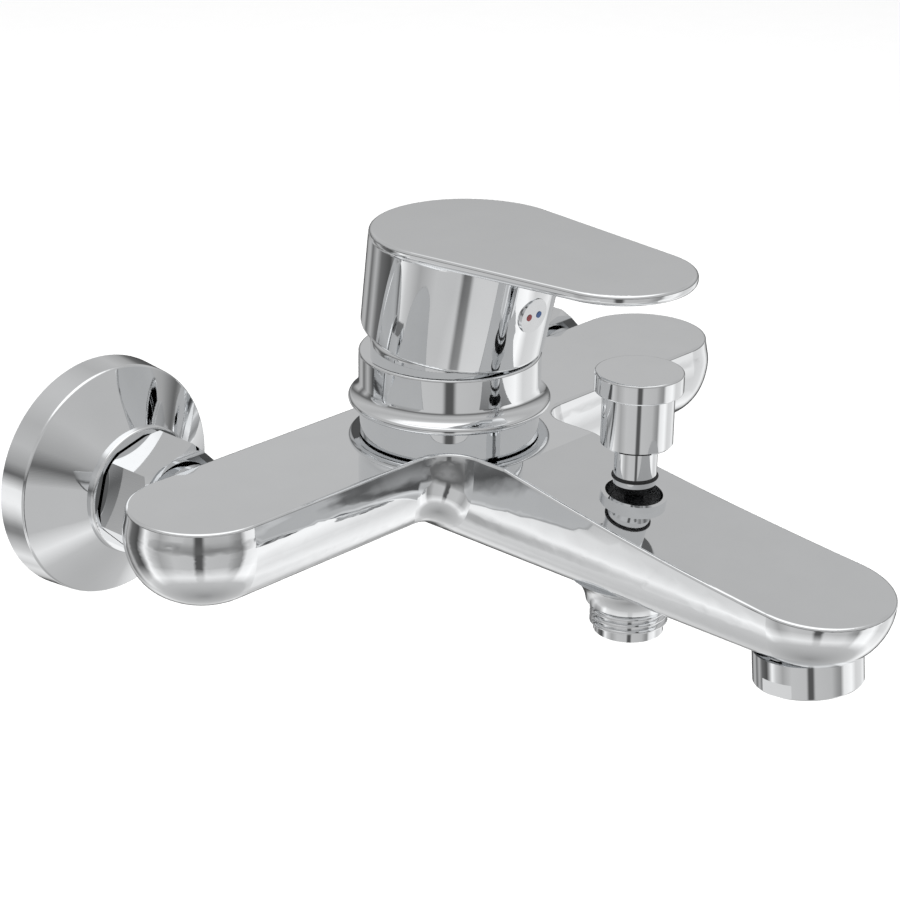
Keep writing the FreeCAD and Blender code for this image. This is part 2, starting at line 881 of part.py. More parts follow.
def inlet_strainer(sign):
    start = union_base(sign) + OUT * (union_front - strainer_thickness)
    disc = rod(strainer_radius, start, OUT, strainer_thickness)
    holes = []
    for ring_number in range(1, strainer_rings + 1):
        count = 6 * ring_number
        for step in range(count):
            angle = 2 * math.pi * step / count
            reach = ring_number * strainer_radius / (strainer_rings + 1)
            place = start + Vector(reach * math.cos(angle), 0, reach * math.sin(angle))
            holes.append(rod(strainer_hole_radius, place, OUT, strainer_thickness))
    return disc.cut(holes)


def wall_union(sign):
    # the wall thread sits below the nut's axis by the eccentric offset
    base = union_base(sign)
    low = base + DOWN * eccentric_offset
    middle = base + DOWN * (eccentric_offset / 2)
    front = rod(three_quarter_radius, base + OUT * union_flange_reach, OUT,
                union_front - union_flange_reach)
    flange = rod(union_flange_radius, middle + OUT * union_flange_reach, OUT, union_flange_length)
    back = rod(half_inch_radius, low + IN * wall_thread_length, OUT,
               wall_thread_length + union_flange_reach)
    bore_front = rod(union_bore_radius, base + OUT * union_flange_reach, OUT, union_front)
    bore_back = rod(union_bore_radius, low + IN * wall_thread_length, OUT,
                    wall_thread_length + union_flange_reach + union_flange_length)
    strainer_seat = rod(strainer_radius + running_gap,
                        base + OUT * (union_front - strainer_thickness), OUT, strainer_thickness)
    return front.fuse([flange, back]).cut([bore_front, bore_back, strainer_seat]).removeSplitter()


def escutcheon(sign):
    rim = escutcheon_radius - escutcheon_taper
    neck = escutcheon_neck_radius
    cone_end = escutcheon_depth - bead_length
    wall = escutcheon_wall
    bore = three_quarter_radius + running_gap
    outline = [
        (escutcheon_radius, 0), (rim, escutcheon_rim), (neck - bead_round, cone_end),
        (neck, cone_end + bead_round / 2), (neck, escutcheon_depth), (bore, escutcheon_depth),
        (bore, cone_end - wall), (neck - 2 * wall, cone_end - wall),
        (rim - wall, escutcheon_rim - wall), (escutcheon_radius - wall, 0)]
    shell = turned(outline, union_base(sign), OUT)
    shell = rounded(shell, rim_round, circle_at(rim, escutcheon_rim))
    return rounded(shell, bead_round, circle_at(neck, escutcheon_depth))


def circle_at(radius, reach):
    def wanted(edge):
        box = edge.BoundBox
        same_size = abs(box.XLength / 2 - radius) < size_match
        return same_size and abs(box.Center.y + reach) < size_match
    return wanted


def escutcheon_seal(sign):
    taper = wall_seal_thickness * escutcheon_taper / escutcheon_rim
    outer = escutcheon_radius - escutcheon_wall - running_gap - taper
    return tube(outer, outer - wall_seal_width, union_base(sign), OUT, wall_seal_thickness)


# ---- diverter ---------------------------------------------------------------

def on_valve_axis(height):
    return at(0, diverter_reach, height)


def diverter_knob():
    cap_bottom = knob_cap_top - knob_cap_thickness
    socket = stem_socket_radius + running_gap
    socket_top = knob_bottom + stem_socket_depth
    outline = [
        (0, socket_top), (socket, socket_top), (socket, knob_bottom),
        (knob_body_radius - knob_round, knob_bottom), (knob_body_radius, knob_bottom + knob_round),
        (knob_body_radius, cap_bottom), (knob_cap_radius - knob_round, cap_bottom),
        round_corner(knob_cap_radius, cap_bottom, knob_round, 1),
        (knob_cap_radius, knob_cap_top - knob_round),
        round_corner(knob_cap_radius, knob_cap_top, knob_round, -1),
        (0, knob_cap_top)]
    knob = turned(outline, on_valve_axis(0))
    return knob.cut(knob_screw_rod(knob_screw_radius + running_gap))


def knob_screw_rod(radius):
    start = on_valve_axis(knob_screw_height) + IN * stem_socket_radius
    return rod(radius, start, IN, knob_body_radius - stem_socket_radius)


def knob_set_screw():
    return knob_screw_rod(knob_screw_radius)


def diverter_stem():
    groove = stem_radius - stem_ring_section
    groove_bottom = stem_ring_height - stem_ring_section
    groove_top = stem_ring_height + stem_ring_section
    rod_bottom = valve_top - valve_seal_thickness - valve_thickness
    socket_end = knob_bottom + stem_socket_depth - seat_gap
    outline = [
        (0, rod_bottom), (rod_radius, rod_bottom), (rod_radius, stem_taper_bottom),
        (stem_end_radius, stem_taper_bottom), (stem_radius, stem_taper_top),
        (stem_radius, groove_bottom), (groove, groove_bottom), (groove, groove_top),
        (stem_radius, groove_top), (stem_radius, knob_bottom), (stem_socket_radius, knob_bottom),
        (stem_socket_radius, socket_end), (0, socket_end)]
    return turned(outline, on_valve_axis(0))


def stem_o_ring():
    return seal_ring(stem_radius, stem_ring_section, on_valve_axis(stem_ring_height))


def diverter_gland():
    bore = rod_radius + running_gap
    height = (boss_hole_bottom + gland_top) / 2
    room = bore + 2 * gland_ring_section
    outline = [
        (bore, boss_hole_bottom), (boss_hole_radius - seat_gap, boss_hole_bottom),
        (boss_hole_radius - seat_gap, gland_top), (bore, gland_top),
        (bore, height + gland_ring_section), (room, height + gland_ring_section),
        (room, height - gland_ring_section), (bore, height - gland_ring_section)]
    return turned(outline, on_valve_axis(0))


def gland_o_ring():
    height = (boss_hole_bottom + gland_top) / 2
    return seal_ring(rod_radius + running_gap + gland_ring_section, gland_ring_section,
                     on_valve_axis(height))


def diverter_valve():
    start = on_valve_axis(valve_top - valve_seal_thickness - valve_thickness)
    return tube(valve_radius, rod_radius, start, UP, valve_thickness)


def valve_seals():
    upper = on_valve_axis(valve_top - valve_seal_thickness)
    lower = on_valve_axis(valve_top - valve_stack)
    hole = rod_radius + running_gap
    return Part.makeCompound([tube(valve_radius, hole, upper, UP, valve_seal_thickness),
                              rod(valve_radius, lower, UP, valve_seal_thickness)])


def shower_outlet_nipple():
    soft = outlet_chamfer
    neck_end = flare_bottom
    groove = outlet_inner_radius + running_gap - 2 * outlet_ring_section
    ring_height = flare_bottom + 2 * outlet_ring_section
    outline = [
        (outlet_bore_radius, outlet_bottom), (half_inch_radius - soft, outlet_bottom),
        (half_inch_radius, outlet_bottom + soft), (half_inch_radius, neck_end),
        (outlet_inner_radius, neck_end), (outlet_inner_radius, ring_height - outlet_ring_section),
        (groove, ring_height - outlet_ring_section), (groove, ring_height + outlet_ring_section),
        (outlet_inner_radius, ring_height + outlet_ring_section),
        (outlet_inner_radius, outlet_seat), (outlet_bore_radius, outlet_seat)]
    nipple = turned(outline, on_valve_axis(0))
    socket = hexagon(outlet_socket_flats, on_valve_axis(outlet_bottom), UP, outlet_socket_depth)
    return nipple.cut(socket)


def outlet_o_ring():
    height = flare_bottom + 2 * outlet_ring_section
    radius = outlet_inner_radius + running_gap - outlet_ring_section
    return seal_ring(radius, outlet_ring_section, on_valve_axis(height))


# ---- aerator ----------------------------------------------------------------

def aerator_housing():
    soft = aerator_round
    outline = [
        (aerator_mouth_radius, 0), (aerator_radius - soft, 0), (aerator_radius, soft),
        (aerator_radius, aerator_skirt), (aerator_thread_radius, aerator_skirt),
        (aerator_thread_radius, aerator_seat), (aerator_bore_radius, aerator_seat),
        (aerator_bore_radius, aerator_lip), (aerator_mouth_radius, aerator_lip)]
    housing = turned(outline, Vector(), UP)
    for sign in (-1, 1):
        depth = aerator_radius - wrench_flat
        middle = sign * (wrench_flat + depth)
        low = Vector(middle - depth, -aerator_radius, 0)
        high = Vector(middle + depth, aerator_radius, wrench_flat_height)
        housing = housing.cut(box_between(low, high))
    return placed(housing, aerator_point(0), aerator_axis())


def aerator_insert():
    insert = rod(aerator_bore_radius - seat_gap, Vector(0, 0, aerator_lip), UP, insert_length)
    holes = []
    for ring_number in range(1, insert_rings + 1):
        count = 6 * ring_number
        for step in range(count):
            angle = 2 * math.pi * step / count
            radius = ring_number * (aerator_bore_radius - insert_margin) / insert_rings
            place = Vector(radius * math.cos(angle), radius * math.sin(angle), aerator_lip)
            holes.append(rod(insert_hole_radius, place, UP, insert_length))
    return placed(insert.cut(holes), aerator_point(0), aerator_axis())


def aerator_screen():
    start = aerator_point(aerator_lip + insert_length)
    return rod(aerator_bore_radius - seat_gap, start, aerator_axis(), screen_thickness)


def aerator_washer():
    return tube(aerator_thread_radius - running_gap, aerator_mouth_radius,
                aerator_point(aerator_seat), aerator_axis(), aerator_washer_thickness)


# ---- all pieces -------------------------------------------------------------

def save(name, shape):
    shape = shape.copy()
    shape.translate(UP * eccentric_offset)
    shape.exportStep("parts/" + name + ".step")


SINGLE_PIECES = [
    body_casting, collar_shroud, collar_o_ring, cartridge_retaining_nut, cartridge_housing,
    cartridge_base, cartridge_port_seals, fixed_ceramic_disc, moving_ceramic_disc, disc_carrier,
    cartridge_rotor, lever_pivot_pin, lever_stem, lever_handle, handle_set_screw, index_plug,
    diverter_knob, knob_set_screw, diverter_stem, stem_o_ring, diverter_gland, gland_o_ring,
    diverter_valve, valve_seals, shower_outlet_nipple, outlet_o_ring, aerator_housing,
    aerator_insert, aerator_screen, aerator_washer]
PAIRED_PIECES = [inlet_nipple, union_nut, union_washer, inlet_strainer, wall_union, escutcheon,
                 escutcheon_seal]

os.makedirs("parts", exist_ok=True)
for piece in SINGLE_PIECES:
    save(piece.__name__, piece())
for piece in PAIRED_PIECES:
    save(piece.__name__ + "_left", piece(-1))
    save(piece.__name__ + "_right", piece(1))
save("index_dot_hot", dot_space(-1))
save("index_dot_cold", dot_space(1))
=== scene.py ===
import json
import math

import bmesh
import bpy
from bpy.props import FloatProperty, FloatVectorProperty, IntProperty, PointerProperty
from mathutils import Matrix, Vector


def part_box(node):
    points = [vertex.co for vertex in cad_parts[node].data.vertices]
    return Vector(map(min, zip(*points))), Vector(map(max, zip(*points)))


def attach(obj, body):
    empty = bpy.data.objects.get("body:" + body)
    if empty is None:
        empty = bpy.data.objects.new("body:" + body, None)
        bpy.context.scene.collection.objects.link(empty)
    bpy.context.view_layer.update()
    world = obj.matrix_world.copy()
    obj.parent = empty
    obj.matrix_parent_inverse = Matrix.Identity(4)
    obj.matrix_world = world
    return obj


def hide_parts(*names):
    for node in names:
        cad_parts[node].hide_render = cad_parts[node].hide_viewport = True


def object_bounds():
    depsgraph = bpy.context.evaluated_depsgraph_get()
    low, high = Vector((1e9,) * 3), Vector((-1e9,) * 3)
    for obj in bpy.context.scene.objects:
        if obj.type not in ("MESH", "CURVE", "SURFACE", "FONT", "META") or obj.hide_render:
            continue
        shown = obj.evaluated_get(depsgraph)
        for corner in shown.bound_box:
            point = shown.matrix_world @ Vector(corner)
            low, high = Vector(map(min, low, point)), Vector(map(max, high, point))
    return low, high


bl_info = {
    "name": "Wall Mounted Bath Faucet",
    "version": (1, 0, 0),
    "blender": (4, 5, 0),
    "location": "3D View > Sidebar > Faucet",
    "description": "Finishes, threads and screens of a wall mounted bath faucet, and its studio",
    "category": "Add Mesh",
}

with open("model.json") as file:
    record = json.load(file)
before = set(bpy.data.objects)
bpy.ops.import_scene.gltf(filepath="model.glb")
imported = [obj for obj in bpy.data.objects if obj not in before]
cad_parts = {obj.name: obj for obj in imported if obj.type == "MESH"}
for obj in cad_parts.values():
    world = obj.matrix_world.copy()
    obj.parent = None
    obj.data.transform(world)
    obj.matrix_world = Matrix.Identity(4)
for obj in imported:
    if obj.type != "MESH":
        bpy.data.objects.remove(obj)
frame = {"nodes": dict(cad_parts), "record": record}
CAD_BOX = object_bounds()
MOUNTS = {mount["name"]: mount for mount in frame["record"]["mounts"]}
SLOT_OF = {part["node"]: part["material_slot"] for part in frame["record"]["subparts"]}
MM = 0.001

# How near two points of a CAD mesh count as one, and how far a radius may be from a crest
MERGE_DISTANCE = 0.002 * MM
SEAM_MARGIN = 0.01 * MM
CREST_MARGIN = 0.05 * MM
SHARP_ANGLE = math.radians(30)

# The turns left plain at each end of a thread, the turns over which its ridge rises, and the
# share of its depth that it rises from
THREAD_MARGIN = 0.45
THREAD_RISE = 1 / 3
THREAD_END_SHARE = 0.04

# Aerator screen: the CAD disc's thickness, the pressed ring's share of it, wires past the
# edge, and points along a wire from one crossing to the next
SCREEN_THICKNESS = 0.8 * MM
RING_SHARE = 0.9
SPARE_WIRES = 3
POINTS_PER_CROSSING = 8.0

FLOOR_HALF_WIDTH = 12.0
SENSOR_WIDTH = 36.0
NEAR_CLIP = 0.05
FAR_CLIP = 60.0


# ---- sizes and colours that a user would change ------------------------------

class FaucetFinishSettings(bpy.types.PropertyGroup):
    """Colours and polish of the faucet's materials"""
    chrome: FloatVectorProperty(name="Chrome", description="Colour of the plated surfaces",
                                subtype="COLOR", size=3, default=(0.84, 0.85, 0.86))
    chrome_roughness: FloatProperty(name="Chrome Roughness", default=0.035, min=0.0, max=1.0,
                                    description="How dull the polished plate is")
    brass: FloatVectorProperty(name="Brass", description="Colour of the bare machined brass",
                               subtype="COLOR", size=3, default=(0.72, 0.52, 0.24))
    steel: FloatVectorProperty(name="Steel", description="Colour of the stainless steel",
                               subtype="COLOR", size=3, default=(0.56, 0.56, 0.57))
    rubber: FloatVectorProperty(name="Rubber", description="Colour of the seals",
                                subtype="COLOR", size=3, default=(0.012, 0.012, 0.013))
    ceramic: FloatVectorProperty(name="Ceramic", description="Colour of the cartridge's discs",
                                 subtype="COLOR", size=3, default=(0.86, 0.85, 0.80))
    cartridge: FloatVectorProperty(name="Cartridge Plastic", subtype="COLOR", size=3,
                                   description="Colour of the cartridge's mouldings",
                                   default=(0.70, 0.72, 0.74))
    # near black: partly the gland's own dark plastic, and partly painted shade for the dark hole
    # round the diverter's stem, whose floor is the gland
    gland: FloatVectorProperty(name="Gland Plastic", description="Colour of the diverter's gland",
                               subtype="COLOR", size=3, default=(0.010, 0.010, 0.011))
    aerator: FloatVectorProperty(name="Aerator Plastic", subtype="COLOR", size=3,
                                 description="Colour of the aerator's insert",
                                 default=(0.55, 0.57, 0.60))
    hot: FloatVectorProperty(name="Hot Dot", description="Colour of the hot side's dot",
                             subtype="COLOR", size=3, default=(0.35, 0.03, 0.04))
    cold: FloatVectorProperty(name="Cold Dot", description="Colour of the cold side's dot",
                              subtype="COLOR", size=3, default=(0.04, 0.12, 0.34))


class FaucetThreadSettings(bpy.types.PropertyGroup):
    """The pipe threads of the shower outlet and the wall unions"""
    pitch: FloatProperty(name="Pitch", description="Distance from crest to crest", unit="LENGTH",
                         default=1.814 * MM, precision=5)
    depth: FloatProperty(name="Depth", description="Height of a crest over the root",
                         unit="LENGTH", default=1.16 * MM, precision=5)
    steps: IntProperty(name="Steps per Turn", description="Points along one turn of the thread",
                       default=64, min=12, max=256)
    wall_length: FloatProperty(name="Wall Thread Length", unit="LENGTH", default=14.0 * MM,
                               description="Threaded end of a wall union's barrel", precision=4)


class FaucetScreenSettings(bpy.types.PropertyGroup):
    """The woven screen over the aerator's insert"""
    spacing: FloatProperty(name="Wire Spacing", description="Distance between two wires",
                           unit="LENGTH", default=1.1 * MM, precision=5)
    wire_radius: FloatProperty(name="Wire Radius", description="Radius of one wire",
                               unit="LENGTH", default=0.16 * MM, precision=5)
    rim: FloatProperty(name="Rim Width", description="Width of the pressed ring round the mesh",
                       unit="LENGTH", default=0.9 * MM, precision=5)


class FaucetStudioSettings(bpy.types.PropertyGroup):
    """The camera and the light"""
    turn: FloatProperty(name="Turn", description="How far left of straight in front the camera is",
                        subtype="ANGLE", default=math.radians(47.57))
    height: FloatProperty(name="Height", description="How far the camera looks down",
                          subtype="ANGLE", default=math.radians(22.54))
    roll: FloatProperty(name="Roll", description="How far the camera leans to its side",
                        subtype="ANGLE", default=math.radians(0.85))
    distance: FloatProperty(name="Distance", description="From the camera to what it looks at",
                            unit="LENGTH", default=0.700)
    aim: FloatVectorProperty(name="Aim", description="The point that the camera looks at",
                             subtype="TRANSLATION", size=3, default=(0.0030, -0.0591, 0.0083))
    lens: FloatProperty(name="Lens", description="Focal length on a 36 mm sensor, in millimetres",
                        default=100.2)
    floor_drop: FloatProperty(name="Floor Drop", unit="LENGTH", default=0.25,
                              description="How far the floor is below the faucet")
    floor: FloatVectorProperty(name="Floor", description="Colour of the floor", subtype="COLOR",
                               size=3, default=(0.94, 0.94, 0.94))


# ---- shader helpers ----------------------------------------------------------

class Number:
    """One value inside a shader. Sums and products of numbers add the tree's Math nodes."""

    def __init__(self, shader, link):
        self.shader = shader
        self.link = link

    def math(self, operation, *others):
        return self.shader.node("ShaderNodeMath", {"operation": operation}, self, *others)

    def __add__(self, other):
        return self.math("ADD", other)

    def __radd__(self, other):
        return self.math("ADD", other)

    def __sub__(self, other):
        return self.math("SUBTRACT", other)

    def __rsub__(self, other):
        return self.shader.node("ShaderNodeMath", {"operation": "SUBTRACT"}, other, self)

    def __mul__(self, other):
        return self.math("MULTIPLY", other)

    def __rmul__(self, other):
        return self.math("MULTIPLY", other)

    def __truediv__(self, other):
        return self.math("DIVIDE", other)


class Shader:
    """A node tree, with one method that adds any node"""

    def __init__(self, owner):
        owner.use_nodes = True
        self.tree = owner.node_tree
        self.tree.nodes.clear()

    def node(self, kind, settings, *values, output=0, **named):
        added = self.tree.nodes.new(kind)
        for key, value in settings.items():
            if key == "stops":
                set_stops(added.color_ramp, value)
            else:
                setattr(added, key, value)
        inputs = dict(enumerate(values))
        inputs.update({key.replace("_", " "): value for key, value in named.items()})
        for key, value in inputs.items():
            if isinstance(value, Number):
                self.tree.links.new(value.link, added.inputs[key])
            else:
                added.inputs[key].default_value = value
        return Number(self, added.outputs[output]) if len(added.outputs) else added

    def place(self):
        return self.node("ShaderNodeTexCoord", {}, output="Object")

    def noise(self, place, scale, detail=2.0):
        return self.node("ShaderNodeTexNoise", {}, Vector=place, Scale=scale, Detail=detail)

    def stretched(self, place, scale):
        return self.node("ShaderNodeMapping", {}, Vector=place, Scale=scale)

    def axes(self, vector):
        split = self.tree.nodes.new("ShaderNodeSeparateXYZ")
        self.tree.links.new(vector.link, split.inputs[0])
        return [Number(self, output) for output in split.outputs]

    def tinted(self, colour, share, factor):
        # the colour, lighter or darker by up to its share as the factor goes from 0 to 1
        light = [min(1.0, part * (1 + share)) for part in colour] + [1.0]
        dark = [part * (1 - share) for part in colour] + [1.0]
        ends = [(0.0, dark), (1.0, light)]
        return self.node("ShaderNodeValToRGB", {"stops": ends}, factor)

    def bump(self, height, distance, strength=1.0):
        return self.node("ShaderNodeBump", {}, Height=height, Distance=distance,
                         Strength=strength)

    def surface(self, **sockets):
        body = self.node("ShaderNodeBsdfPrincipled", {}, **sockets)
        self.node("ShaderNodeOutputMaterial", {}, Surface=body)


def set_stops(ramp, stops):
    while len(ramp.elements) > 1:
        ramp.elements.remove(ramp.elements[-1])
    ramp.elements[0].position = stops[0][0]
    ramp.elements[0].color = stops[0][1]
    for position, colour in stops[1:]:
        ramp.elements.new(position).color = colour


def new_material(name):
    material = bpy.data.materials.new(name)
    return material, Shader(material)


# ---- finishes ----------------------------------------------------------------

def cast_chrome(finish):
    """Plate over a polished casting: hand polishing leaves the surface faintly wavy."""
    material, shader = new_material("cast_chrome")
    place = shader.place()
    haze = shader.noise(place, 90.0, 3.0)
    grain = shader.noise(place, 900.0, 2.0)
    waves = shader.noise(place, 26.0, 1.0)
    height = waves + 0.012 * grain
    roughness = finish.chrome_roughness * (0.7 + 0.6 * haze)
    shader.surface(Base_Color=shader.tinted(finish.chrome, 0.03, haze), Metallic=1.0,
                   Roughness=roughness, Normal=shader.bump(height, 0.00008))
    return material


def turned_chrome(finish):
    """Plate over turned brass: truer than the casting, with only a fine haze."""
    material, shader = new_material("turned_chrome")
    place = shader.place()
    haze = shader.noise(place, 140.0, 3.0)
    fine = shader.noise(shader.stretched(place, (1.0, 1.0, 9.0)), 320.0, 2.0)
    roughness = finish.chrome_roughness * (0.55 + 0.5 * haze + 0.3 * fine)
    shader.surface(Base_Color=shader.tinted(finish.chrome, 0.025, haze), Metallic=1.0,
                   Roughness=roughness, Normal=shader.bump(fine, 0.0000018))
    return material


def index_chrome(finish):
    """The index plug's thin bright plate"""
    material, shader = new_material("index_chrome")
    haze = shader.noise(shader.place(), 420.0, 3.0)
    shader.surface(Base_Color=shader.tinted(finish.chrome, 0.05, haze), Metallic=1.0,
                   Roughness=0.05 + 0.05 * haze, Normal=shader.bump(haze, 0.000004))
    return material


def machined_brass(finish):
    """Bare brass with tool marks and a little tarnish"""
    material, shader = new_material("machined_brass")
    place = shader.place()
    marks = shader.noise(shader.stretched(place, (1.0, 14.0, 14.0)), 380.0, 2.0)
    tarnish = shader.noise(place, 70.0, 4.0)
    shader.surface(Base_Color=shader.tinted(finish.brass, 0.16, tarnish), Metallic=1.0,
                   Roughness=0.20 + 0.10 * marks + 0.14 * tarnish,
                   Normal=shader.bump(marks, 0.000012))
    return material


def drawn_steel(finish):
    """Stainless steel with fine drawn lines"""
    material, shader = new_material("drawn_steel")
    place = shader.place()
    lines = shader.noise(shader.stretched(place, (24.0, 24.0, 1.0)), 300.0, 2.0)
    haze = shader.noise(place, 160.0, 3.0)
    shader.surface(Base_Color=shader.tinted(finish.steel, 0.08, haze), Metallic=1.0,
                   Roughness=0.22 + 0.14 * lines, Normal=shader.bump(lines, 0.000008))
    return material


def moulded_plastic(name, colour):
    """Satin moulded plastic: a fine spark texture and slow colour drift"""
    material, shader = new_material(name)
    place = shader.place()
    spark = shader.noise(place, 2600.0, 2.0)
    drift = shader.noise(place, 60.0, 2.0)
    shader.surface(Base_Color=shader.tinted(colour, 0.05, drift), Roughness=0.38 + 0.16 * spark,
                   Normal=shader.bump(spark, 0.00003))
    return material


def lapped_ceramic(finish):
    """Fine grained white ceramic, lapped nearly to a mirror"""
    material, shader = new_material("lapped_ceramic")
    place = shader.place()
    grain = shader.noise(place, 3200.0, 2.0)
    clouds = shader.noise(place, 110.0, 3.0)
    shader.surface(Base_Color=shader.tinted(finish.ceramic, 0.04, clouds),
                   Roughness=0.12 + 0.08 * grain, Normal=shader.bump(grain, 0.000004))
    return material


def seal_rubber(finish):
    """Matt black rubber with a little bloom"""
    material, shader = new_material("seal_rubber")
    place = shader.place()
    pores = shader.noise(place, 3800.0, 2.0)
    bloom = shader.noise(place, 260.0, 3.0)
    shader.surface(Base_Color=shader.tinted(finish.rubber, 0.35, bloom),
                   Roughness=0.42 + 0.25 * bloom, Normal=shader.bump(pores, 0.00002))
    return material


def enamel(name, colour):
    """A drop of gloss enamel with a faintly uneven skin"""
    material, shader = new_material(name)
    skin = shader.noise(shader.place(), 1500.0, 2.0)
    shader.surface(Base_Color=shader.tinted(colour, 0.10, skin), Roughness=0.10 + 0.08 * skin,
                   Normal=shader.bump(skin, 0.00001))
    return material


def make_finishes(finish):
    # the finish of each of the record's material slots
    return {
        "chrome": turned_chrome(finish),
        "cast": cast_chrome(finish),
        "index_chrome": index_chrome(finish),
        "brass": machined_brass(finish),
        "steel": drawn_steel(finish),
        "cartridge_plastic": moulded_plastic("cartridge_plastic", finish.cartridge),
        # the gland's near-black plastic is also painted shade in the hole round the diverter's
        # stem
        "black_plastic": moulded_plastic("black_plastic", finish.gland),
        "aerator_plastic": moulded_plastic("aerator_plastic", finish.aerator),
        "disc_ceramic": lapped_ceramic(finish),
        "seal_rubber": seal_rubber(finish),
        "hot_red": enamel("hot_red", finish.hot),
        "cold_blue": enamel("cold_blue", finish.cold),
    }


POLISHED_CASTINGS = ("body_casting", "lever_handle")
FINISHES = {}


# ---- mesh and tree helpers -----------------------------------------------------

def copy_of(node, name):
    """A new object with a CAD node's mesh, its loose triangles merged"""
    mesh = frame["nodes"][node].data.copy()
    mesh.name = name
    work = bmesh.new()
    work.from_mesh(mesh)
    bmesh.ops.remove_doubles(work, verts=work.verts, dist=MERGE_DISTANCE)
    work.to_mesh(mesh)
    work.free()
    piece = bpy.data.objects.new(name, mesh)
    bpy.context.scene.collection.objects.link(piece)
    return piece


def turn_down(piece, start, along, crest, root):
    """Turns a plain threaded length down to the thread's root, from start and on along it"""
    for vertex in piece.data.vertices:
        offset = vertex.co - start
        travel = offset.dot(along)
        across = offset - along * travel
        if travel > -SEAM_MARGIN and root < across.length < crest + CREST_MARGIN:
            vertex.co = start + along * travel + across * (root / across.length)


def sharp_by_angle(piece, angle):
    for edge_face in piece.data.polygons:
        edge_face.use_smooth = True
    work = bmesh.new()
    work.from_mesh(piece.data)
    for edge in work.edges:
        folded = len(edge.link_faces) == 2 and edge.calc_face_angle(0.0) > angle
        edge.smooth = not folded
    work.to_mesh(piece.data)
    work.free()


class Tree:
    """A Geometry Nodes tree with named inputs"""

    def __init__(self, name, inputs):
        self.group = bpy.data.node_groups.new(name, "GeometryNodeTree")
        self.named = {}
        kinds = {"Geometry": "NodeSocketGeometry", "Material": "NodeSocketMaterial"}
        for label, kind in inputs:
            socket = self.group.interface.new_socket(label, in_out="INPUT",
                                                     socket_type=kinds.get(kind, kind))
            self.named[label] = socket.identifier
        self.group.interface.new_socket("Geometry", in_out="OUTPUT",
                                        socket_type="NodeSocketGeometry")
        self.entry = self.group.nodes.new("NodeGroupInput")
        self.exit = self.group.nodes.new("NodeGroupOutput")

    def given(self, label):
        return self.entry.outputs[label]

    def node(self, kind, settings, *values, output=0, **named):
        added = self.group.nodes.new(kind)
        for key, value in settings.items():
            setattr(added, key, value)
        inputs = dict(enumerate(values))
        inputs.update({key.replace("_", " "): value for key, value in named.items()})
        for key, value in inputs.items():
            for each in value if isinstance(value, list) else [value]:
                if isinstance(each, bpy.types.NodeSocket):
                    self.group.links.new(each, added.inputs[key])
                else:
                    added.inputs[key].default_value = each
        return added.outputs[output]

    def math(self, operation, *values):
        return self.node("ShaderNodeMath", {"operation": operation}, *values)

    def vector(self, x, y, z):
        return self.node("ShaderNodeCombineXYZ", {}, x, y, z)

    def finish(self, geometry):
        whole = self.node("GeometryNodeRealizeInstances", {}, geometry)
        smooth = self.node("GeometryNodeSetShadeSmooth", {}, whole)
        painted = self.node("GeometryNodeSetMaterial", {}, smooth,
                            Material=self.given("Material"))
        self.group.links.new(painted, self.exit.inputs[0])


def apply_tree(piece, tree, values):
    """Runs the tree on the piece and keeps the result as the piece's own plain mesh"""
    modifier = piece.modifiers.new(tree.group.name, "NODES")
    modifier.node_group = tree.group
    for label, value in values.items():
        modifier[tree.named[label]] = value
    bpy.context.view_layer.update()
    evaluated = piece.evaluated_get(bpy.context.evaluated_depsgraph_get())
    mesh = bpy.data.meshes.new_from_object(evaluated)
    piece.modifiers.remove(modifier)
    piece.data = mesh
    mesh.name = piece.name


# ---- thread --------------------------------------------------------------------

def thread_tree():
    """A ridge that runs round the core as a helix, fading out at both ends"""
    tree = Tree("helical_thread", [
        ("Core", "Geometry"), ("Root Radius", "NodeSocketFloat"), ("Depth", "NodeSocketFloat"),
        ("Pitch", "NodeSocketFloat"), ("Turns", "NodeSocketFloat"), ("Steps", "NodeSocketInt"),
        ("Start", "NodeSocketVector"), ("Rotation", "NodeSocketVector"),
        ("Material", "Material")])
    pitch, depth, turns = tree.given("Pitch"), tree.given("Depth"), tree.given("Turns")
    root, steps = tree.given("Root Radius"), tree.given("Steps")
    point_count = tree.math("MULTIPLY", turns, steps)
    line = tree.node("GeometryNodeCurvePrimitiveLine", {})
    points = tree.node("GeometryNodeResampleCurve", {}, Curve=line, Count=point_count)
    share = tree.node("GeometryNodeSplineParameter", {}, output="Factor")
    turned = tree.math("MULTIPLY", share, turns)
    angle = tree.math("MULTIPLY", turned, 2 * math.pi)
    x = tree.math("MULTIPLY", tree.math("COSINE", angle), root)
    y = tree.math("MULTIPLY", tree.math("SINE", angle), root)
    z = tree.math("MULTIPLY", turned, pitch)
    helix = tree.node("GeometryNodeSetPosition", {}, points, Position=tree.vector(x, y, z))
    upright = tree.node("GeometryNodeSetCurveNormal", {"mode": "Z_UP"}, helix)

    # a third of a turn at each end rises from the root to the full depth
    from_start = tree.math("DIVIDE", turned, THREAD_RISE)
    left_over = tree.math("SUBTRACT", turns, turned)
    from_end = tree.math("DIVIDE", left_over, THREAD_RISE)
    nearest = tree.math("MINIMUM", from_start, from_end)
    fade = tree.math("MAXIMUM", tree.math("MINIMUM", nearest, 1.0), THREAD_END_SHARE)

    circle = tree.node("GeometryNodeCurvePrimitiveCircle", {}, Resolution=6, Radius=1.0)
    corner = tree.node("GeometryNodeInputIndex", {})
    profile = tree.node("GeometryNodeSetPosition", {}, circle,
                        Position=profile_corner(tree, corner, pitch, depth))
    ridge = tree.node("GeometryNodeCurveToMesh", {}, upright, profile, Fill_Caps=True, Scale=fade)
    placed = tree.node("GeometryNodeTransform", {}, ridge, Translation=tree.given("Start"),
                       Rotation=tree.given("Rotation"))
    both = tree.node("GeometryNodeJoinGeometry", {}, [tree.given("Core"), placed])
    tree.finish(both)
    return tree


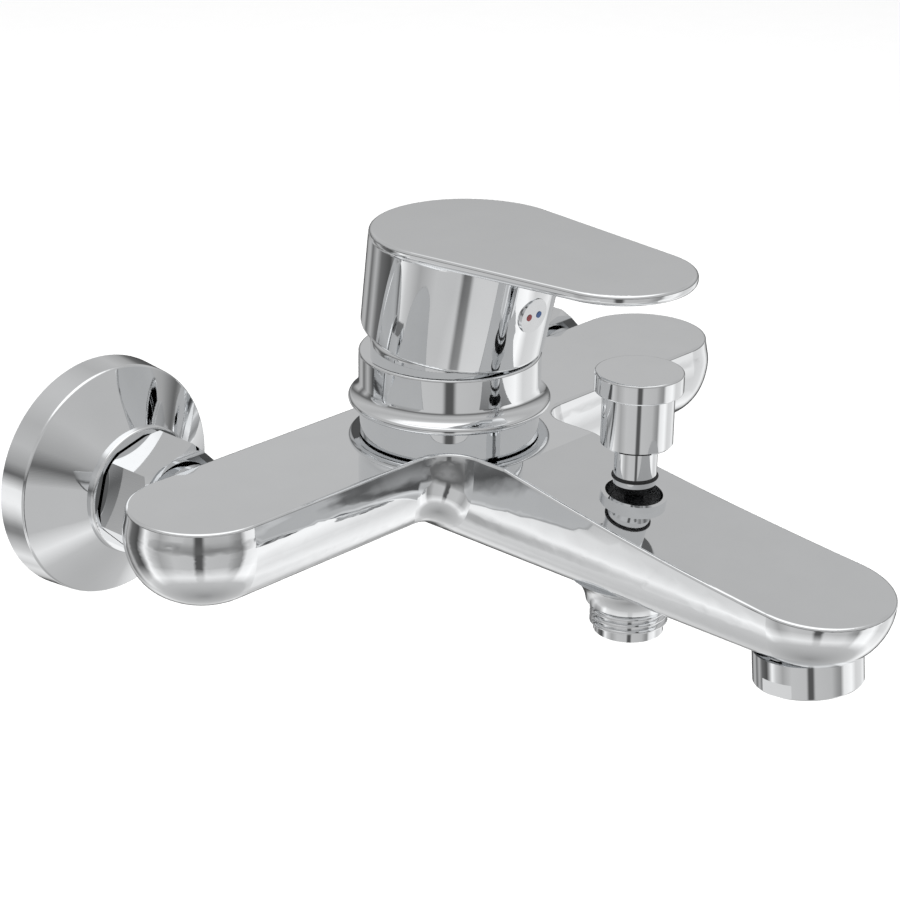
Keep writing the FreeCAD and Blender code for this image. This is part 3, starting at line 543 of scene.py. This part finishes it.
# one ridge in section: along the thread as a share of the pitch, and outward as a share of
# the depth. Its base is sunk a little into the core.
RIDGE = [(-0.46, -0.12), (-0.40, 0.06), (-0.11, 0.94), (0.11, 0.94), (0.40, 0.06), (0.46, -0.12)]


def profile_corner(tree, corner, pitch, depth):
    across = choose(tree, corner, [share for share, _ in RIDGE])
    outward = choose(tree, corner, [share for _, share in RIDGE])
    return tree.vector(tree.math("MULTIPLY", outward, depth),
                       tree.math("MULTIPLY", across, pitch), 0.0)


def choose(tree, index, values):
    # the value with the given index, as a sum of terms of which only one isn't zero
    total = 0.0
    for place, value in enumerate(values):
        here = tree.math("COMPARE", index, float(place), 0.5)
        total = tree.math("MULTIPLY_ADD", here, value, total)
    return total


def threaded_piece(tree, node, foot, start, along, length, crest):
    """Stands for a CAD node whose thread is a plain cylinder, and gives it a real thread.

    The barrel is turned down from its foot on, and the ridge begins at start.
    """
    settings = bpy.context.scene.faucet_thread
    root = crest - settings.depth
    piece = copy_of(node, node + "_threaded")
    turn_down(piece, foot, along, crest, root)
    sharp_by_angle(piece, SHARP_ANGLE)
    turns = (length - 2 * THREAD_MARGIN * settings.pitch) / settings.pitch
    first = start + along * (THREAD_MARGIN * settings.pitch)
    rotation = Vector((0, 0, 1)).rotation_difference(along).to_euler()
    slot = SLOT_OF[node]
    apply_tree(piece, tree, {
        "Root Radius": root, "Depth": settings.depth, "Pitch": settings.pitch, "Turns": turns,
        "Steps": settings.steps, "Start": first, "Rotation": Vector(rotation),
        "Material": FINISHES[slot]})
    piece.data.materials.clear()
    piece.data.materials.append(FINISHES[slot])
    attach(piece, "faucet_body")
    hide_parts(node)
    return piece


def mount_size(name):
    """A round mount's middle, direction, radius and length, in metres"""
    mount = MOUNTS[name]
    sizes = mount["dims"]
    return (Vector(mount["pos_m"]), Vector(mount["axis"]), sizes["r_mm"] * MM,
            sizes["length_mm"] * MM)


# ---- aerator screen ---------------------------------------------------------------

def screen_tree():
    """Woven wires over and under each other, cut to a disc"""
    tree = Tree("woven_screen", [
        ("Rim", "Geometry"), ("Spacing", "NodeSocketFloat"), ("Wire Radius", "NodeSocketFloat"),
        ("Disc Radius", "NodeSocketFloat"), ("Wires", "NodeSocketInt"),
        ("Middle", "NodeSocketVector"), ("Rotation", "NodeSocketVector"),
        ("Material", "Material")])
    spacing, wire, disc = (tree.given(label)
                           for label in ("Spacing", "Wire Radius", "Disc Radius"))
    count = tree.given("Wires")
    reach = tree.math("MULTIPLY", tree.math("SUBTRACT", count, 1.0), 0.5)
    half = tree.math("MULTIPLY", reach, spacing)
    back = tree.math("MULTIPLY", half, -1.0)
    line = tree.node("GeometryNodeCurvePrimitiveLine", {}, Start=tree.vector(back, 0.0, 0.0),
                     End=tree.vector(half, 0.0, 0.0))
    fine_count = tree.math("ADD", tree.math("MULTIPLY", reach, POINTS_PER_CROSSING), 1.0)
    fine = tree.node("GeometryNodeResampleCurve", {}, Curve=line, Count=fine_count)
    rows = tree.node("GeometryNodeMeshLine", {}, Count=count,
                     Start_Location=tree.vector(0.0, back, 0.0),
                     Offset=tree.vector(0.0, spacing, 0.0))
    copies = tree.node("GeometryNodeInstanceOnPoints", {}, rows, Instance=fine)
    wires = tree.node("GeometryNodeRealizeInstances", {}, copies)
    split = tree.group.nodes.new("ShaderNodeSeparateXYZ")
    tree.group.links.new(tree.node("GeometryNodeInputPosition", {}), split.inputs[0])
    x, y = split.outputs[0], split.outputs[1]
    square = tree.math("ADD", tree.math("MULTIPLY", x, x), tree.math("MULTIPLY", y, y))
    outside = tree.math("GREATER_THAN", square, tree.math("MULTIPLY", disc, disc))
    cut = tree.node("GeometryNodeDeleteGeometry", {"domain": "POINT"}, wires, outside)
    across = tree.math("COSINE", tree.math("DIVIDE", tree.math("MULTIPLY", x, math.pi), spacing))
    along = tree.math("COSINE", tree.math("DIVIDE", tree.math("MULTIPLY", y, math.pi), spacing))
    rise = tree.math("MULTIPLY", tree.math("MULTIPLY", across, along), wire)
    woven = tree.node("GeometryNodeSetPosition", {}, cut, Offset=tree.vector(0.0, 0.0, rise))
    section = tree.node("GeometryNodeCurvePrimitiveCircle", {}, Resolution=6, Radius=wire)
    warp = tree.node("GeometryNodeCurveToMesh", {}, woven, section, Fill_Caps=True)
    weft = tree.node("GeometryNodeTransform", {}, warp, Rotation=(math.pi, 0.0, math.pi / 2))
    mesh = tree.node("GeometryNodeJoinGeometry", {}, [warp, weft])
    placed = tree.node("GeometryNodeTransform", {}, mesh, Translation=tree.given("Middle"),
                       Rotation=tree.given("Rotation"))
    both = tree.node("GeometryNodeJoinGeometry", {}, [tree.given("Rim"), placed])
    tree.finish(both)
    return tree


def ring_object(name, middle, turn, radius, width, height, steps=96):
    """A flat pressed ring, closed all round"""
    mesh = bpy.data.meshes.new(name)
    work = bmesh.new()
    section = [(radius - width, -height / 2), (radius, -height / 2),
               (radius, height / 2), (radius - width, height / 2)]
    loops = []
    for step in range(steps):
        angle = 2 * math.pi * step / steps
        loops.append([work.verts.new(middle + turn @ Vector((r * math.cos(angle),
                                                            r * math.sin(angle), h)))
                      for r, h in section])
    for step, here in enumerate(loops):
        beyond = loops[(step + 1) % steps]
        for corner in range(4):
            after = (corner + 1) % 4
            work.faces.new([here[corner], beyond[corner], beyond[after], here[after]])
    bmesh.ops.recalc_face_normals(work, faces=work.faces)
    work.to_mesh(mesh)
    work.free()
    ring = bpy.data.objects.new(name, mesh)
    bpy.context.scene.collection.objects.link(ring)
    return ring


# ---- operators ------------------------------------------------------------------

class FAUCET_OT_finish_parts(bpy.types.Operator):
    """Give every part of the faucet its finish"""
    bl_idname = "faucet.finish_parts"
    bl_label = "Finish the Parts"

    def execute(self, context):
        FINISHES.update(make_finishes(context.scene.faucet_finish))
        for name, node in frame["nodes"].items():
            key = "cast" if name in POLISHED_CASTINGS else SLOT_OF[name]
            node.data.materials.clear()
            node.data.materials.append(FINISHES[key])
        return {"FINISHED"}


class FAUCET_OT_cut_threads(bpy.types.Operator):
    """Cut the real threads of the shower outlet and the wall unions"""
    bl_idname = "faucet.cut_threads"
    bl_label = "Cut the Threads"

    def execute(self, context):
        tree = thread_tree()
        jobs = [("shower_outlet_nipple", "shower_outlet"),
                ("wall_union_left", "wall_thread_left"), ("wall_union_right", "wall_thread_right")]
        wall_length = context.scene.faucet_thread.wall_length
        for node, mount in jobs:
            middle, along, crest, barrel = mount_size(mount)
            # a wall union's barrel is turned down all along, and plain near its flange
            length = min(barrel, wall_length)
            foot = middle - along * (barrel / 2)
            start = foot + along * (barrel - length)
            threaded_piece(tree, node, foot, start, along, length, crest)
        return {"FINISHED"}


class FAUCET_OT_weave_screen(bpy.types.Operator):
    """Weave the screen that lies on the aerator's insert"""
    bl_idname = "faucet.weave_screen"
    bl_label = "Weave the Screen"

    def execute(self, context):
        settings = context.scene.faucet_screen
        low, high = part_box("aerator_screen")
        middle = (low + high) / 2
        radius = (high.x - low.x) / 2
        # the disc leans about X: its height in the frame gives the lean
        lean = math.asin((high.z - low.z - SCREEN_THICKNESS) / (2 * radius))
        turn = Matrix.Rotation(-lean, 3, "X")
        screen = ring_object("aerator_woven_screen", middle, turn, radius, settings.rim,
                             SCREEN_THICKNESS * RING_SHARE)
        inside = radius - settings.rim / 2
        wires = 2 * int(inside / settings.spacing) + SPARE_WIRES
        apply_tree(screen, screen_tree(), {
            "Spacing": settings.spacing, "Wire Radius": settings.wire_radius,
            "Disc Radius": inside, "Wires": wires, "Middle": middle,
            "Rotation": Vector((-lean, 0.0, 0.0)), "Material": FINISHES["steel"]})
        screen.data.materials.clear()
        screen.data.materials.append(FINISHES["steel"])
        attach(screen, "faucet_body")
        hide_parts("aerator_screen")
        return {"FINISHED"}


# ---- studio -----------------------------------------------------------------------

# The studio round the faucet, as brightness by direction. Angles go round from the camera's
# side, to the right as positive, and the dark entries are black cards beside the table.
ROUND_THE_TABLE = [
    (-180, 0.10), (-166, 0.08), (-158, 0.42), (-146, 0.50), (-138, 0.16), (-126, 0.50),
    (-116, 0.16), (-99, 0.08), (-92, 0.40), (-84, 1.05), (-74, 0.66), (-58, 0.42), (-38, 0.60),
    (-9, 0.58), (-4, 0.10), (4, 0.10), (9, 0.58), (42, 0.54), (54, 0.36), (62, 0.30),
    (70, 0.92), (90, 1.10), (104, 0.74), (124, 0.80), (138, 0.98), (149, 0.62), (157, 0.08),
    (167, 0.06), (174, 0.50), (180, 0.10)]
# From straight down, through level, to straight up
DOWN_TO_UP = [(-90, 0.34), (-66, 0.52), (-48, 0.66), (-36, 0.0), (-8, 0.0), (2, 0.16),
              (9, 0.40), (22, 0.56), (38, 0.50), (52, 0.62), (62, 1.25), (90, 1.35)]
# Where the cards stand, from their feet to their tops
CARD_SPAN = [(-58, 0.0), (-37, 1.0), (-9, 1.0), (1, 0.0)]


def grey(value):
    return (value, value, value, 1.0)


def make_world(studio):
    world = bpy.data.worlds.new("studio")
    shader = Shader(world)
    direction = shader.node("ShaderNodeTexCoord", {}, output="Generated")
    x, y, z = shader.axes(direction)
    # the horizontal direction towards the camera, and the one to its right
    back_x, back_y = -math.sin(studio.turn), -math.cos(studio.turn)
    right_x, right_y = -back_y, back_x
    toward = x * back_x + y * back_y
    beside = x * right_x + y * right_y
    round_share = beside.math("ARCTAN2", toward) / (2 * math.pi) + 0.5
    up_share = z.math("ARCSINE") / math.pi + 0.5
    table = shader.node("ShaderNodeValToRGB", {"stops": [
        ((angle + 180) / 360, grey(value)) for angle, value in ROUND_THE_TABLE]}, round_share)
    heights = shader.node("ShaderNodeValToRGB", {"stops": [
        ((angle + 90) / 180, grey(value)) for angle, value in DOWN_TO_UP]}, up_share)
    # the cards stand between these two heights only
    cards = shader.node("ShaderNodeValToRGB", {"stops": [
        ((angle + 90) / 180, grey(value)) for angle, value in CARD_SPAN]}, up_share)
    seen = heights + cards * table
    lit = shader.node("ShaderNodeBackground", {}, Color=seen, Strength=1.0)
    plain = shader.node("ShaderNodeBackground", {}, Color=grey(1.0), Strength=1.0)
    from_camera = shader.node("ShaderNodeLightPath", {}, output="Is Camera Ray")
    both = shader.node("ShaderNodeMixShader", {}, from_camera, lit, plain)
    shader.node("ShaderNodeOutputWorld", {}, Surface=both)
    bpy.context.scene.world = world


def make_floor(studio):
    low, _ = CAD_BOX
    level = low[2] - studio.floor_drop
    half = FLOOR_HALF_WIDTH
    mesh = bpy.data.meshes.new("floor")
    corners = [(-half, -half, level), (half, -half, level), (half, half, level),
               (-half, half, level)]
    mesh.from_pydata(corners, [], [(0, 1, 2, 3)])
    floor = bpy.data.objects.new("floor", mesh)
    bpy.context.scene.collection.objects.link(floor)
    material, shader = new_material("floor_paper")
    fibres = shader.noise(shader.place(), 40.0, 3.0)
    shader.surface(Base_Color=shader.tinted(studio.floor, 0.01, fibres), Roughness=0.9,
                   Specular_IOR_Level=0.0)
    mesh.materials.append(material)
    floor.visible_glossy = False


def make_light(name, place, size, power):
    light = bpy.data.lights.new(name, "AREA")
    light.shape = "DISK"
    light.size = size
    light.energy = power
    lamp = bpy.data.objects.new(name, light)
    lamp.location = place
    lamp.visible_glossy = False
    bpy.context.scene.collection.objects.link(lamp)


def make_camera(studio):
    turn, height, roll = studio.turn, studio.height, studio.roll
    back = Vector((-math.sin(turn) * math.cos(height), -math.cos(turn) * math.cos(height),
                   math.sin(height)))
    level_right = Vector((math.cos(turn), -math.sin(turn), 0.0))
    level_up = back.cross(level_right)
    right = level_right * math.cos(roll) + level_up * math.sin(roll)
    up = level_up * math.cos(roll) - level_right * math.sin(roll)
    camera = bpy.data.objects.new("camera", bpy.data.cameras.new("camera"))
    bpy.context.scene.collection.objects.link(camera)
    camera.matrix_world = Matrix.Translation(Vector(studio.aim) + back * studio.distance) @ Matrix(
        (right, up, back)).transposed().to_4x4()
    camera.data.lens = studio.lens
    camera.data.sensor_width = SENSOR_WIDTH
    camera.data.clip_start = NEAR_CLIP
    camera.data.clip_end = FAR_CLIP
    bpy.context.scene.camera = camera


class FAUCET_OT_set_studio(bpy.types.Operator):
    """Set up the floor, the light and the camera"""
    bl_idname = "faucet.set_studio"
    bl_label = "Set the Studio"

    def execute(self, context):
        studio = context.scene.faucet_studio
        make_world(studio)
        make_floor(studio)
        make_light("overhead_softbox", place=(0.0, 0.0, 2.2), size=3.0, power=42.0)
        make_camera(studio)
        context.scene.view_settings.view_transform = "Standard"
        return {"FINISHED"}


class FAUCET_PT_panel(bpy.types.Panel):
    """Lists the faucet's steps"""
    bl_idname = "FAUCET_PT_panel"
    bl_label = "Faucet"
    bl_space_type = "VIEW_3D"
    bl_region_type = "UI"
    bl_category = "Faucet"

    def draw(self, context):
        for operator in OPERATORS:
            self.layout.operator(operator.bl_idname)
        for group in SETTINGS:
            box = self.layout.box()
            for key in SETTINGS[group].__annotations__:
                box.prop(getattr(context.scene, group), key)


SETTINGS = {"faucet_finish": FaucetFinishSettings, "faucet_thread": FaucetThreadSettings,
            "faucet_screen": FaucetScreenSettings, "faucet_studio": FaucetStudioSettings}
OPERATORS = (FAUCET_OT_finish_parts, FAUCET_OT_cut_threads, FAUCET_OT_weave_screen,
             FAUCET_OT_set_studio)


def register():
    for group, settings in SETTINGS.items():
        bpy.utils.register_class(settings)
        setattr(bpy.types.Scene, group, PointerProperty(type=settings))
    for operator in OPERATORS:
        bpy.utils.register_class(operator)
    bpy.utils.register_class(FAUCET_PT_panel)


def unregister():
    bpy.utils.unregister_class(FAUCET_PT_panel)
    for operator in reversed(OPERATORS):
        bpy.utils.unregister_class(operator)
    for group, settings in reversed(SETTINGS.items()):
        delattr(bpy.types.Scene, group)
        bpy.utils.unregister_class(settings)


def main():
    register()
    bpy.ops.faucet.finish_parts()
    bpy.ops.faucet.cut_threads()
    bpy.ops.faucet.weave_screen()
    bpy.ops.faucet.set_studio()


if __name__ == "__main__":
    main()
